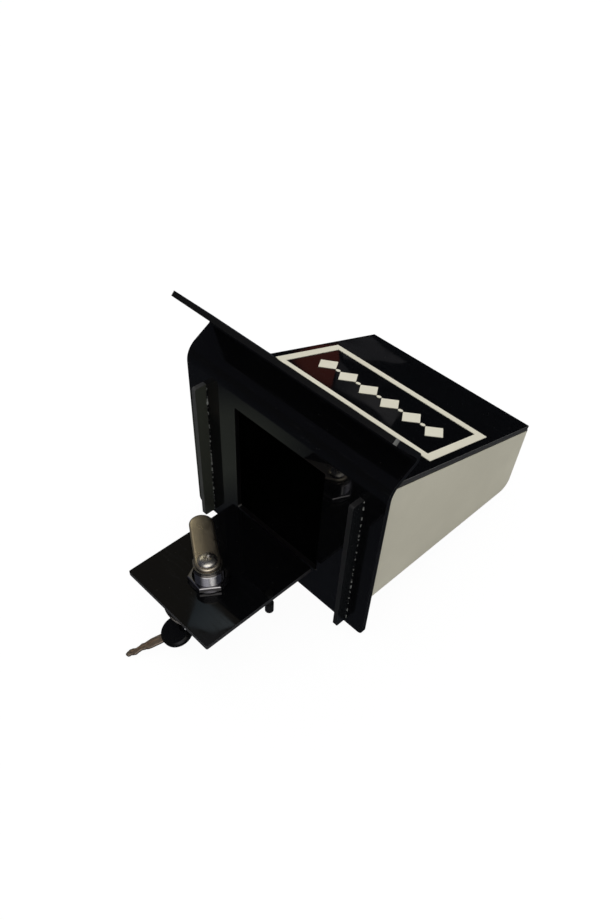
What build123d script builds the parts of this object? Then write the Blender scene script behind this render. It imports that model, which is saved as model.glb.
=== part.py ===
# Donation box in 3 mm acrylic sheet, lying on a table with its door open.
#
# Drawing frame (millimetres): X across the box, Y from the back of the mounting plate into
# the body, Z up the plate from its bottom edge.  Every piece is drawn in this frame, square
# to the box.  The finished pieces are then laid down together: the box rests on the rear
# corner of the plate's bottom edge and on the rounded corner of the body.
from build123d import *
from math import asin, atan2, cos, degrees, hypot, radians, sin, tan
import os

os.makedirs("parts", exist_ok=True)

# Sheet and mounting plate
sheet = 3.0                   # thickness of every acrylic sheet
plate_width = 150.0
plate_flat = 112.7            # height of the flat, up to the first bend
plate_corner = 3.5            # rounding of the two bottom corners
knee_radius = 13.0            # first bend, on the front face
knee_turn = 60.0              # degrees that the first bend turns backwards
ramp_length = 14.0            # straight stretch between the two bends
crest_radius = 1.5            # second bend, on the front face
flange_rise = 45.0            # degrees that the flange points up and forwards
flange_left = 36.2            # from the second bend to the free edge, left end
flange_right = 29.7           # the same at the right end: the free edge was cut askew
flange_corner = 2.0

# Door opening and door
opening_width = 70.0
opening_bottom = 24.5
opening_top = 104.0
opening_corner = 1.0
door_gap = 0.3                # all round the closed door

# Rails on the front of the plate
rail_height = 8.2
rail_bottom = 3.0
rail_top = 106.0
rail_centre = 60.3            # from the middle of the plate to the middle of a rail
rail_corner = 1.5

# Body behind the plate
overhang = 8.8                # plate beyond the body, each side
face_seat = 0.1               # face panel's top edge below the plate's first bend
face_slope = 16.5             # degrees that the face panel falls away from the plate
body_depth = 155.0
base_front = 14.9             # underside of the body at the plate
base_back = 11.8              # underside of the body at the far end, before rounding
body_corner = 8.5             # outer radius of the rounded corner

# Slot for coins and folded notes
slot_length = 80.0
slot_width = 6.5
slot_height = 40.0            # middle of the slot above the plate's bottom edge

# Cream film: a border on the face panel and a skin over each side
film = 0.3
skin_inset = 0.8              # a skin stops this far inside its side panel's outline
border_width = 122.4
border_length = 61.5          # along the slope
border_start = 53.4           # along the slope, from the plate
border_band = 5.4

# Hinge
knuckle_radius = 3.0
knuckle_seat = 0.15           # between the knuckles and the sheets
pin_radius = 1.5
pin_clearance = 0.05
leaf_thickness = 1.0
leaf_reach = 14.0             # from the pin's axis to the edge of a leaf
hinge_length = 40.0
knuckle_count = 3
knuckle_gap = 0.2
pin_head_radius = 2.4
pin_head_length = 0.8
rivet_count = 2
rivet_radius = 1.5
rivet_head_radius = 2.6
rivet_head_height = 0.8
rivet_end_gap = 0.3           # a rivet ends this far short of the sheet's far face

# Cam lock
lock_from_edge = 30.5         # lock's axis to the free edge of the door
lock_head_radius = 11.0
lock_head_thickness = 3.0
lock_body_radius = 9.3
lock_flats = 16.4             # across the two flats of the threaded body
lock_body_reach = 12.0        # threaded body beyond the door's inner face
lock_hole_clearance = 0.15
nut_flats = 21.2
nut_thickness = 2.8
nut_heading = -5.0            # degrees from +X to a corner of the nut
nut_bevel = 0.6               # height of the bevel on the nut's corners
washer_radius = 11.4
washer_thickness = 0.8
thread_clearance = 0.1
plug_radius = 6.2
plug_clearance = 0.08
plug_rim_radius = 8.0
plug_rim_thickness = 1.4
stop_washer_radius = 8.6
stop_washer_thickness = 2.0
tang_size = 8.0
tang_clearance = 0.1
lever_thickness = 2.0
lever_width = 14.4
lever_reach = 35.6            # from the lock's axis to the lever's tip
lever_heading = 147.5         # degrees from +X, seen from inside the box
cam_screw_radius = 2.5
cam_screw_length = 4.4
cam_screw_head_radius = 5.4
cam_screw_head_height = 2.1
screw_cross = 6.4
screw_cross_width = 1.2
screw_cross_depth = 1.2
wafer_count = 4
wafer_pitch = 3.2
wafer_start = 4.4             # first wafer, from the plug's face
wafer_thickness = 1.0
wafer_width = 6.4
wafer_length = 10.0
wafer_gap = 0.1
stop_lug_width = 24.0         # degrees taken by the lug on the end of the housing
stop_lug_height = 1.2
stop_lug_depth = 1.6          # lug and notch, measured from the rim of the stop washer
lock_turn = 90.0              # degrees from open to locked
stop_clearance = 1.5          # degrees

# Keys
blade_thickness = 1.8
blade_width = 5.6
blade_inserted = 16.4
blade_point = 1.6             # length of the pointed tip
keyway_clearance = 0.15
keyway_end_gap = 0.4
bow_diameter = 19.6
bow_length = 21.5             # from the eye's end of the bow to the blade
bow_thickness = 4.6
bow_edge = 1.2                # bevel round the bow's rims
eye_diameter = 5.8
eye_from_end = 4.4            # centre of the eye to the bow's outer end
eye_lug_diameter = 9.8        # thinner part of the bow round the eye
eye_lug_thickness = 2.0
blade_tang = 6.0              # blade held inside the bow
cut_pitch = 3.2               # spacing of the cuts along the blade
cut_depths = (1.3, 0.5, 0.9, 0.4)
blade_groove = 1.2            # width of the groove down each face
blade_groove_depth = 0.4
key_floor_gap = 0.25          # under the key that stands on the table

# Key ring and the spare key on it
ring_radius = 14.4
ring_wire = 1.5
wire_facets = 6
ring_split = 3.0              # degrees left open where the wire ends meet
ring_rise = 21.0              # degrees that the ring climbs from the lock's key
spare_round = 97.0            # degrees round the ring from the lock's key to the spare
spare_heading = -115.0        # degrees from +X, from the spare key's eye to its tip

# Pull knob under the door
knob_radius = 2.6
knob_length = 13.0
knob_from_side = 2.8          # knob's axis to the side edge of the door
knob_from_hinge = 31.6        # knob's axis to the hinge's axis
knob_screw_radius = 1.2
knob_screw_clearance = 0.1

# --- places worked out from those sizes -----------------------------------------------
body_half = plate_width / 2 - overhang
face_height = plate_flat - face_seat
slope = radians(face_slope)
panel_drop = sheet / cos(slope)


def face_top(y):
    """Height of the face panel's outer surface at depth y."""
    return face_height - y * tan(slope)


def face_under(y):
    """Height of the face panel's inner surface at depth y."""
    return face_top(y) - panel_drop


def base_under(y):
    """Height of the body's underside at depth y."""
    return base_front + (base_back - base_front) * y / body_depth


# The rounded corner's centre, and the tilt of the table seen from the box
base_slope = atan2(base_front - base_back, body_depth)
corner_y = body_depth - body_corner
corner_z = base_under(corner_y) + body_corner / cos(base_slope)
table_tilt = atan2(corner_z, corner_y) - asin(body_corner / hypot(corner_y, corner_z))

hinge_y = -sheet - knuckle_seat - knuckle_radius
hinge_z = opening_bottom - 0.5
knuckle_pitch = hinge_length / knuckle_count
rivet_pitch = hinge_length / rivet_count
rivet_out = (leaf_reach + knuckle_radius) / 2
rivet_depth = sheet - rivet_end_gap
door_under = hinge_z + knuckle_radius + knuckle_seat
door_top = door_under + sheet
door_near = hinge_y - (opening_bottom + door_gap - hinge_z)
door_far = hinge_y - (opening_top - door_gap - hinge_z)
door_half = opening_width / 2 - door_gap
lock_y = door_far + lock_from_edge
lock_face = door_under - lock_head_thickness
body_end = door_top + lock_body_reach
lever_under = body_end + stop_washer_thickness
lever_top = lever_under + lever_thickness

# The key in the lock stands on the table and holds the door level
table_under_lock = lock_y * tan(table_tilt)
key_end = table_under_lock + key_floor_gap + eye_from_end * (1 / cos(table_tilt) - 1)
key_end += bow_thickness / 2 * tan(table_tilt)
blade_exposed = lock_face - key_end - bow_length
eye_to_shoulder = bow_length - eye_from_end
eye_to_tip = eye_to_shoulder + blade_exposed + blade_inserted
eye_spot = Vector(0, lock_y, key_end + eye_from_end)
key_across = Vector(1, 0, 0).rotate(Axis.Z, lever_heading + 90)
key_normal = key_across.rotate(Axis.Z, 90)

# The ring climbs away from that key, and the spare key hangs part of the way round it
ring_out = key_across * cos(radians(ring_rise)) + Vector(0, 0, sin(radians(ring_rise)))
ring_centre = eye_spot + ring_out * ring_radius
ring_normal = ring_out.cross(key_normal)
spare_turn = radians(spare_round)
spare_eye = ring_centre - ring_out * (ring_radius * cos(spare_turn))
spare_eye += key_normal * (ring_radius * sin(spare_turn))
table_normal = Vector(0, -sin(table_tilt), cos(table_tilt))
spare_along = Vector(1, 0, 0).rotate(Axis.Z, spare_heading)
spare_along = (spare_along - table_normal * spare_along.dot(table_normal)).normalized()
spare_eye_height = spare_eye.dot(table_normal)
spare_pitch = asin((spare_eye_height - blade_thickness / 2 - key_floor_gap) / eye_to_tip)
spare_direction = spare_along * cos(spare_pitch) - table_normal * sin(spare_pitch)
spare_normal = spare_along * sin(spare_pitch) + table_normal * cos(spare_pitch)

finished = []


def keep(builder, node):
    """Name a finished piece and set it aside for laying down."""
    builder.part.label = node
    finished.append(builder.part)


# --- mounting plate: one sheet, bent twice at the top ---------------------------------
knee = radians(knee_turn)
knee_end = (-sheet + knee_radius * (1 - cos(knee)), plate_flat + knee_radius * sin(knee))
knee_tip = (-sheet, plate_flat + knee_radius * tan(knee / 2))
rise = radians(90) - knee
crest = (knee_end[0] + ramp_length * cos(rise), knee_end[1] + ramp_length * sin(rise))
flange = radians(flange_rise)
flange_tip = (crest[0] - flange_left * cos(flange), crest[1] + flange_left * sin(flange))
flange_plane = Plane(
    origin=(0, crest[0], crest[1]), x_dir=(1, 0, 0), z_dir=(0, -sin(flange), -cos(flange))
)

with BuildPart() as mounting_plate:
    with BuildSketch(Plane.YZ):
        with BuildLine():
            FilletPolyline(
                (-sheet, 0), knee_tip, crest, flange_tip, radius=[knee_radius, crest_radius]
            )
            offset(amount=sheet, side=Side.RIGHT)
        make_face()
    extrude(amount=plate_width / 2, both=True)
    with BuildSketch(Plane.XZ.offset(sheet)):
        with Locations((0, (opening_bottom + opening_top) / 2)):
            RectangleRounded(opening_width, opening_top - opening_bottom, opening_corner)
    extrude(amount=-sheet, mode=Mode.SUBTRACT)
    with BuildSketch(Plane.XZ.offset(sheet)):
        with Locations((0, hinge_z - rivet_out)):
            with GridLocations(rivet_pitch, 0, rivet_count, 1):
                Circle(rivet_radius)
    extrude(amount=-rivet_depth, mode=Mode.SUBTRACT)
    fillet(mounting_plate.edges().filter_by(Axis.Y).group_by(Axis.Z)[0], radius=plate_corner)
    with BuildSketch(flange_plane):
        Polygon(
            (-plate_width / 2, flange_left),
            (plate_width / 2, flange_right),
            (plate_width / 2, flange_left + sheet),
            (-plate_width / 2, flange_left + sheet),
            align=None,
        )
    extrude(amount=2 * sheet, both=True, mode=Mode.SUBTRACT)
    free_edge = mounting_plate.faces().sort_by(Axis.Z)[-1]
    fillet(free_edge.edges().sort_by(SortBy.LENGTH)[:2], radius=flange_corner)
keep(mounting_plate, "mounting_plate")

# --- rails: two strips standing on edge, glued to the front of the plate ---------------
with BuildPart() as right_rail:
    with BuildSketch(Plane.XZ.offset(sheet)):
        with Locations((rail_centre, (rail_bottom + rail_top) / 2)):
            Rectangle(sheet, rail_top - rail_bottom)
    extrude(amount=rail_height)
    front_ends = right_rail.edges().filter_by(Axis.X).group_by(Axis.Y)[0]
    fillet(front_ends, radius=rail_corner)
keep(right_rail, "right_rail")

with BuildPart() as left_rail:
    add(right_rail.part)
    mirror(about=Plane.YZ, mode=Mode.REPLACE)
keep(left_rail, "left_rail")

# --- body: two sides, a face panel and one bent sheet for the bottom and the far end ---
def side_outline():
    """Sketch the outline of a side panel, before the corner at the far end is rounded."""
    Polygon(
        (0, base_under(0)),
        (body_depth, base_under(body_depth)),
        (body_depth, face_under(body_depth)),
        (0, face_under(0)),
        align=None,
    )


with BuildPart() as right_side_panel:
    with BuildSketch(Plane.YZ.offset(body_half - sheet)) as side_sketch:
        side_outline()
        far_low = side_sketch.vertices().group_by(Axis.X)[-1].sort_by(Axis.Y)[0]
        fillet(far_low, radius=body_corner)
    extrude(amount=sheet)
keep(right_side_panel, "right_side_panel")

with BuildPart() as left_side_panel:
    add(right_side_panel.part)
    mirror(about=Plane.YZ, mode=Mode.REPLACE)
keep(left_side_panel, "left_side_panel")

with BuildPart() as right_side_skin:
    with BuildSketch(Plane.YZ.offset(body_half)) as skin_sketch:
        side_outline()
        far_low = skin_sketch.vertices().group_by(Axis.X)[-1].sort_by(Axis.Y)[0]
        fillet(far_low, radius=body_corner)
        offset(amount=-skin_inset, mode=Mode.REPLACE)
    extrude(amount=film)
keep(right_side_skin, "right_side_skin")

with BuildPart() as left_side_skin:
    add(right_side_skin.part)
    mirror(about=Plane.YZ, mode=Mode.REPLACE)
keep(left_side_skin, "left_side_skin")

face_plane = Plane(
    origin=(0, 0, face_height), x_dir=(1, 0, 0), z_dir=(0, sin(slope), cos(slope))
)

with BuildPart() as face_panel:
    with BuildSketch(Plane.YZ):
        with BuildLine():
            Polyline(
                (0, face_top(0)),
                (body_depth, face_top(body_depth)),
                (body_depth - sheet * sin(slope), face_top(body_depth) - sheet * cos(slope)),
                (0, face_under(0)),
                close=True,
            )
        make_face()
    extrude(amount=body_half, both=True)
keep(face_panel, "face_panel")

with BuildPart() as back_sheet:
    with BuildSketch(Plane.YZ):
        with BuildLine():
            FilletPolyline(
                (0, base_under(0)),
                (body_depth, base_under(body_depth)),
                (body_depth, face_top(body_depth) + sheet),
                radius=body_corner,
            )
            offset(amount=sheet, side=Side.LEFT)
        make_face()
    extrude(amount=body_half - sheet, both=True)
    split(bisect_by=face_plane.offset(-sheet), keep=Keep.BOTTOM)
    split(bisect_by=Plane.XZ, keep=Keep.BOTTOM)
    with BuildSketch(Plane.XZ.offset(-body_depth)):
        with Locations((0, slot_height)):
            SlotOverall(slot_length, slot_width)
    extrude(amount=2 * sheet, mode=Mode.SUBTRACT)
keep(back_sheet, "back_sheet")

with BuildPart() as border_frame:
    with BuildSketch(face_plane):
        with Locations((0, border_start + border_length / 2)):
            Rectangle(border_width, border_length)
            Rectangle(
                border_width - 2 * border_band, border_length - 2 * border_band, mode=Mode.SUBTRACT
            )
    extrude(amount=film)
keep(border_frame, "border_frame")

# --- hinge: a butt hinge riveted below the opening --------------------------------------
hinge_axis_plane = Plane(origin=(0, hinge_y, hinge_z), x_dir=(0, 1, 0), z_dir=(1, 0, 0))


def knuckle_starts(first):
    """Near ends of every second knuckle, along the pin."""
    return [-hinge_length / 2 + knuckle_pitch * n for n in range(first, knuckle_count, 2)]


with BuildPart() as hinge_plate_leaf:
    with BuildSketch(Plane.XZ.offset(sheet)):
        with Locations((0, hinge_z - leaf_reach / 2)):
            Rectangle(hinge_length, leaf_reach)
    extrude(amount=leaf_thickness)
    for start in knuckle_starts(1):
        with BuildSketch(hinge_axis_plane.offset(start - knuckle_gap)):
            Circle(knuckle_radius + knuckle_gap)
        extrude(amount=knuckle_pitch + 2 * knuckle_gap, mode=Mode.SUBTRACT)
    for start in knuckle_starts(0):
        with BuildSketch(hinge_axis_plane.offset(start)):
            Circle(knuckle_radius)
            Circle(pin_radius, mode=Mode.SUBTRACT)
        extrude(amount=knuckle_pitch)
    with BuildSketch(Plane.XZ.offset(sheet)):
        with Locations((0, hinge_z - rivet_out)):
            with GridLocations(rivet_pitch, 0, rivet_count, 1):
                Circle(rivet_radius)
    extrude(amount=leaf_thickness, mode=Mode.SUBTRACT)
keep(hinge_plate_leaf, "hinge_plate_leaf")

with BuildPart() as hinge_door_leaf:
    with BuildSketch(Plane.XY.offset(door_under - leaf_thickness)):
        with Locations((0, hinge_y - leaf_reach / 2)):
            Rectangle(hinge_length, leaf_reach)
    extrude(amount=leaf_thickness)
    for start in knuckle_starts(0):
        with BuildSketch(hinge_axis_plane.offset(start - knuckle_gap)):
            Circle(knuckle_radius + knuckle_gap)
        extrude(amount=knuckle_pitch + 2 * knuckle_gap, mode=Mode.SUBTRACT)
    for start in knuckle_starts(1):
        with BuildSketch(hinge_axis_plane.offset(start)):
            Circle(knuckle_radius)
        extrude(amount=knuckle_pitch)
    with BuildSketch(hinge_axis_plane.offset(-hinge_length / 2)):
        Circle(pin_radius + pin_clearance)
    extrude(amount=hinge_length, mode=Mode.SUBTRACT)
    with BuildSketch(Plane.XY.offset(door_under - leaf_thickness)):
        with Locations((0, hinge_y - rivet_out)):
            with GridLocations(rivet_pitch, 0, rivet_count, 1):
                Circle(rivet_radius)
    extrude(amount=leaf_thickness, mode=Mode.SUBTRACT)
keep(hinge_door_leaf, "hinge_door_leaf")

with BuildPart() as hinge_pin:
    with BuildSketch(hinge_axis_plane.offset(-hinge_length / 2)):
        Circle(pin_radius)
    extrude(amount=hinge_length)
    with BuildSketch(hinge_axis_plane.offset(hinge_length / 2)):
        Circle(pin_head_radius)
    extrude(amount=pin_head_length)
    with BuildSketch(hinge_axis_plane.offset(-hinge_length / 2 - pin_head_length)):
        Circle(pin_head_radius)
    extrude(amount=pin_head_length)
keep(hinge_pin, "hinge_pin")

with BuildPart() as hinge_plate_rivets:
    with BuildSketch(Plane.XZ.offset(rivet_end_gap)):
        with Locations((0, hinge_z - rivet_out)):
            with GridLocations(rivet_pitch, 0, rivet_count, 1):
                Circle(rivet_radius)
    extrude(amount=rivet_depth + leaf_thickness)
    with BuildSketch(Plane.XZ.offset(sheet + leaf_thickness)):
        with Locations((0, hinge_z - rivet_out)):
            with GridLocations(rivet_pitch, 0, rivet_count, 1):
                Circle(rivet_head_radius)
    extrude(amount=rivet_head_height)
keep(hinge_plate_rivets, "hinge_plate_rivets")

with BuildPart() as hinge_door_rivets:
    with BuildSketch(Plane.XY.offset(door_top - rivet_end_gap)):
        with Locations((0, hinge_y - rivet_out)):
            with GridLocations(rivet_pitch, 0, rivet_count, 1):
                Circle(rivet_radius)
    extrude(amount=-rivet_depth - leaf_thickness)
    with BuildSketch(Plane.XY.offset(door_under - leaf_thickness)):
        with Locations((0, hinge_y - rivet_out)):
            with GridLocations(rivet_pitch, 0, rivet_count, 1):
                Circle(rivet_head_radius)
    extrude(amount=-rivet_head_height)
keep(hinge_door_rivets, "hinge_door_rivets")

# --- door: a flat sheet with a double-D hole for the lock -------------------------------
lock_plane = Plane(origin=(0, lock_y, 0), x_dir=key_across, z_dir=(0, 0, 1))
knob_x = door_half - knob_from_side
knob_y = hinge_y - knob_from_hinge

with BuildPart() as door_panel:
    with BuildSketch(Plane.XY.offset(door_under)):
        with Locations((0, (door_near + door_far) / 2)):
            RectangleRounded(2 * door_half, door_near - door_far, opening_corner)
    extrude(amount=sheet)
    with BuildSketch(lock_plane.offset(door_under)):
        Circle(lock_body_radius + lock_hole_clearance)
        Rectangle(
            lock_flats + 2 * lock_hole_clearance, 3 * lock_body_radius, mode=Mode.INTERSECT
        )
    extrude(amount=sheet, mode=Mode.SUBTRACT)
    with BuildSketch(Plane.XY.offset(door_under)):
        with Locations((0, hinge_y - rivet_out)):
            with GridLocations(rivet_pitch, 0, rivet_count, 1):
                Circle(rivet_radius)
    extrude(amount=rivet_depth, mode=Mode.SUBTRACT)
    with BuildSketch(Plane.XY.offset(door_under)):
        with Locations((knob_x, knob_y)):
            Circle(knob_screw_radius + knob_screw_clearance)
    extrude(amount=sheet, mode=Mode.SUBTRACT)
keep(door_panel, "door_panel")

# --- pull knob, held by a screw from inside the door ------------------------------------
knob_screw_head = 2 * knob_screw_radius
knob_screw_depth = knob_length * 0.6

with BuildPart() as door_knob:
    with BuildSketch(Plane.XZ.offset(-knob_y)):
        with BuildLine():
            Polyline(
                (knob_x, door_under),
                (knob_x + knob_radius * 0.7, door_under),
                (knob_x + knob_radius * 0.7, door_under - knob_length * 0.4),
                (knob_x + knob_radius, door_under - knob_length * 0.4),
                (knob_x + knob_radius, door_under - knob_length),
                (knob_x, door_under - knob_length),
                close=True,
            )
        make_face()
    revolve(axis=Axis((knob_x, knob_y, 0), (0, 0, 1)))
    chamfer(door_knob.faces().sort_by(Axis.Z)[0].edges(), length=knob_radius * 0.3)
    with BuildSketch(Plane.XY.offset(door_under)):
        with Locations((knob_x, knob_y)):
            Circle(knob_screw_radius)
    extrude(amount=-knob_screw_depth, mode=Mode.SUBTRACT)
keep(door_knob, "door_knob")

with BuildPart() as knob_screw:
    with BuildSketch(Plane.XY.offset(door_under - knob_screw_depth)):
        with Locations((knob_x, knob_y)):
            Circle(knob_screw_radius)
    extrude(amount=knob_screw_depth + sheet)
    with BuildSketch(Plane.XY.offset(door_top)):
        with Locations((knob_x, knob_y)):
            Circle(knob_screw_head)
    extrude(amount=knob_screw_radius)
keep(knob_screw, "knob_screw")

# --- cam lock ---------------------------------------------------------------------------
keyway_length = blade_inserted + keyway_end_gap
keyway_thickness = blade_thickness + 2 * keyway_clearance
keyway_width = blade_width + 2 * keyway_clearance
rim_clearance_radius = plug_rim_radius + plug_clearance

stop_notch_radius = stop_washer_radius - stop_lug_depth
lug_radius = lock_flats / 2


def ring_sector(start, end, inner, outer):
    """Sketch a piece of a flat ring between two angles, about the sketch's origin."""
    middle = (start + end) / 2
    half = (end - start) / 2
    far = outer / cos(radians(half / 2)) * 1.05
    corners = [(0, 0)]
    for angle in (start, middle, end):
        corners.append((far * cos(radians(angle)), far * sin(radians(angle))))
    Polygon(*corners, align=None)
    Circle(outer, mode=Mode.INTERSECT)
    Circle(inner, mode=Mode.SUBTRACT)


with BuildPart() as lock_housing:
    with BuildSketch(lock_plane.offset(lock_face)):
        Circle(lock_head_radius)
    extrude(amount=lock_head_thickness)
    chamfer(lock_housing.faces().sort_by(Axis.Z)[0].edges(), length=lock_head_thickness / 3)
    with BuildSketch(lock_plane.offset(door_under)):
        Circle(lock_body_radius)
        Rectangle(lock_flats, 3 * lock_body_radius, mode=Mode.INTERSECT)
    extrude(amount=body_end - door_under)
    with BuildSketch(lock_plane.offset(lock_face)):
        Circle(plug_radius + plug_clearance)
    extrude(amount=body_end - lock_face, mode=Mode.SUBTRACT)
    with BuildSketch(lock_plane.offset(lock_face)):
        Circle(rim_clearance_radius)
    extrude(amount=plug_rim_thickness, mode=Mode.SUBTRACT)
    with BuildSketch(lock_plane.offset(body_end)):
        ring_sector(-stop_lug_width / 2, stop_lug_width / 2, stop_notch_radius + 0.2, lug_radius)
    extrude(amount=stop_lug_height)
keep(lock_housing, "lock_housing")

with BuildPart() as lock_washer:
    with BuildSketch(lock_plane.offset(door_top)):
        Circle(washer_radius)
        Circle(lock_body_radius + thread_clearance, mode=Mode.SUBTRACT)
    extrude(amount=washer_thickness)
keep(lock_washer, "lock_washer")

nut_base = door_top + washer_thickness
nut_plane = Plane(origin=(0, lock_y, nut_base), x_dir=(1, 0, 0), z_dir=(0, 0, 1))
nut_corner_radius = nut_flats / 2 / cos(radians(30))

with BuildPart() as lock_nut:
    with BuildSketch(nut_plane):
        Circle(nut_corner_radius)
    extrude(amount=nut_thickness)
    chamfer(lock_nut.edges().sort_by(Axis.Z)[-1], length=nut_bevel, length2=2 * nut_bevel)
    with BuildSketch(nut_plane):
        RegularPolygon(nut_corner_radius, 6, rotation=nut_heading)
    extrude(amount=nut_thickness, mode=Mode.INTERSECT)
    with BuildSketch(nut_plane):
        Circle(lock_body_radius + thread_clearance)
    extrude(amount=nut_thickness, mode=Mode.SUBTRACT)
keep(lock_nut, "lock_nut")

with BuildPart() as lock_plug:
    with BuildSketch(lock_plane.offset(lock_face)):
        Circle(plug_rim_radius)
    extrude(amount=plug_rim_thickness - plug_clearance)
    with BuildSketch(lock_plane.offset(lock_face)):
        Circle(plug_radius)
    extrude(amount=body_end - lock_face)
    with BuildSketch(lock_plane.offset(body_end)):
        Rectangle(tang_size, tang_size)
    extrude(amount=stop_washer_thickness + lever_thickness)
    with BuildSketch(lock_plane.offset(lock_face)):
        Rectangle(keyway_width, keyway_thickness)
    extrude(amount=keyway_length, mode=Mode.SUBTRACT)
    for n in range(wafer_count):
        with BuildSketch(lock_plane.offset(lock_face + wafer_start + n * wafer_pitch - wafer_gap)):
            Rectangle(wafer_length + 2 * wafer_gap, wafer_width)
        extrude(amount=wafer_thickness + 2 * wafer_gap, mode=Mode.SUBTRACT)
    with BuildSketch(lock_plane.offset(lever_top)):
        Circle(cam_screw_radius)
    extrude(amount=-cam_screw_length, mode=Mode.SUBTRACT)
keep(lock_plug, "lock_plug")

with BuildPart() as lock_wafers:
    for n in range(wafer_count):
        with BuildSketch(lock_plane.offset(lock_face + wafer_start + n * wafer_pitch)):
            Rectangle(wafer_length, wafer_width)
            Rectangle(keyway_width, keyway_thickness, mode=Mode.SUBTRACT)
        extrude(amount=wafer_thickness)
keep(lock_wafers, "lock_wafers")

with BuildPart() as stop_washer:
    with BuildSketch(lock_plane.offset(body_end)):
        Circle(stop_washer_radius)
        Rectangle(tang_size + 2 * tang_clearance, tang_size + 2 * tang_clearance, mode=Mode.SUBTRACT)
    extrude(amount=stop_washer_thickness)
    with BuildSketch(lock_plane.offset(body_end)):
        ring_sector(
            -stop_lug_width / 2 - stop_clearance - lock_turn,
            stop_lug_width / 2 + stop_clearance,
            stop_notch_radius,
            stop_washer_radius + 1,
        )
    extrude(amount=stop_washer_thickness, mode=Mode.SUBTRACT)
keep(stop_washer, "stop_washer")

lever_plane = Plane(
    origin=(0, lock_y, lever_under),
    x_dir=(cos(radians(lever_heading)), sin(radians(lever_heading)), 0),
    z_dir=(0, 0, 1),
)
lever_centres = lever_reach - lever_width / 2

with BuildPart() as cam_lever:
    with BuildSketch(lever_plane):
        with Locations((lever_centres / 2, 0)):
            SlotCenterToCenter(lever_centres, lever_width)
        Rectangle(tang_size + 2 * tang_clearance, tang_size + 2 * tang_clearance, mode=Mode.SUBTRACT)
    extrude(amount=lever_thickness)
    rim = cam_lever.faces().sort_by(Axis.Z)[-1].outer_wire().edges()
    chamfer(rim, length=lever_thickness / 8)
keep(cam_lever, "cam_lever")

with BuildPart() as cam_screw:
    with BuildSketch(lock_plane.offset(lever_top)):
        Circle(cam_screw_head_radius)
    extrude(amount=cam_screw_head_height)
    head_top = cam_screw.edges().sort_by(Axis.Z)[-1]
    chamfer(head_top, length=cam_screw_head_height / 2, length2=cam_screw_head_height * 0.8)
    with BuildSketch(lock_plane.offset(lever_top + cam_screw_head_height)):
        Rectangle(screw_cross, screw_cross_width)
        Rectangle(screw_cross_width, screw_cross)
    extrude(amount=-screw_cross_depth, mode=Mode.SUBTRACT)
    with BuildSketch(lock_plane.offset(lever_top)):
        Circle(cam_screw_radius)
    extrude(amount=-cam_screw_length)
keep(cam_screw, "cam_screw")


# --- keys: a nickel blade moulded into a round black bow ---------------------------------
def key_bow(eye_plane):
    """Moulded bow with an eye; eye_plane has its origin in the eye and X along the blade."""
    with BuildPart() as bow:
        with BuildSketch(eye_plane.offset(-bow_thickness / 2)):
            Circle(eye_from_end)
            with Locations((eye_to_shoulder - bow_diameter / 2, 0)):
                Circle(bow_diameter / 2)
            make_hull()
        extrude(amount=bow_thickness)
        for face in bow.faces().filter_by(eye_plane):
            chamfer(face.edges(), length=bow_edge)
        for side in (-1, 1):
            with BuildSketch(eye_plane.offset(side * bow_thickness / 2)):
                Circle(eye_lug_diameter / 2)
            extrude(amount=-side * (bow_thickness - eye_lug_thickness) / 2, mode=Mode.SUBTRACT)
        with BuildSketch(eye_plane.offset(-bow_thickness / 2)):
            Circle(eye_diameter / 2)
        extrude(amount=bow_thickness, mode=Mode.SUBTRACT)
        with BuildSketch(eye_plane.offset(-blade_thickness / 2)):
            with Locations((eye_to_shoulder, 0)):
                Rectangle(2 * blade_tang, blade_width)
        extrude(amount=blade_thickness, mode=Mode.SUBTRACT)
    return bow


def key_blade(eye_plane):
    """Flat blade cut on both edges, from inside the bow to its pointed tip."""
    half = blade_width / 2
    start = eye_to_shoulder - blade_tang
    with BuildPart() as blade:
        with BuildSketch(eye_plane.offset(-blade_thickness / 2)):
            with BuildLine():
                Polyline(
                    (start, -half),
                    (eye_to_tip - blade_point, -half),
                    (eye_to_tip, -half / 2),
                    (eye_to_tip, half / 2),
                    (eye_to_tip - blade_point, half),
                    (start, half),
                    close=True,
                )
            make_face()
            for n, depth in enumerate(cut_depths):
                along = eye_to_tip - blade_point - cut_pitch * (n + 0.7)
                for side in (-1, 1):
                    with BuildLine():
                        Polyline(
                            (along - cut_pitch / 2, side * half),
                            (along - cut_pitch / 6, side * (half - depth)),
                            (along + cut_pitch / 6, side * (half - depth)),
                            (along + cut_pitch / 2, side * half),
                            close=True,
                        )
                    make_face(mode=Mode.SUBTRACT)
        extrude(amount=blade_thickness)
        groove_length = eye_to_tip - blade_point - eye_to_shoulder
        for side in (-1, 1):
            with BuildSketch(eye_plane.offset(side * blade_thickness / 2)):
                with Locations((eye_to_shoulder + groove_length / 2 + 1, 0)):
                    Rectangle(groove_length, blade_groove)
            extrude(amount=-side * blade_groove_depth, mode=Mode.SUBTRACT)
    return blade


lock_key_plane = Plane(origin=eye_spot, x_dir=(0, 0, 1), z_dir=key_normal)
spare_key_plane = Plane(origin=spare_eye, x_dir=spare_direction, z_dir=spare_normal)
keep(key_bow(lock_key_plane), "lock_key_bow")
keep(key_blade(lock_key_plane), "lock_key_blade")
keep(key_bow(spare_key_plane), "spare_key_bow")
keep(key_blade(spare_key_plane), "spare_key_blade")

# --- key ring: one turn of wire through both eyes ----------------------------------------
ring_plane = Plane(origin=ring_centre, x_dir=ring_out, z_dir=ring_normal)
ring_section = Plane(origin=ring_centre, x_dir=ring_out, z_dir=ring_plane.y_dir)

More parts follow.
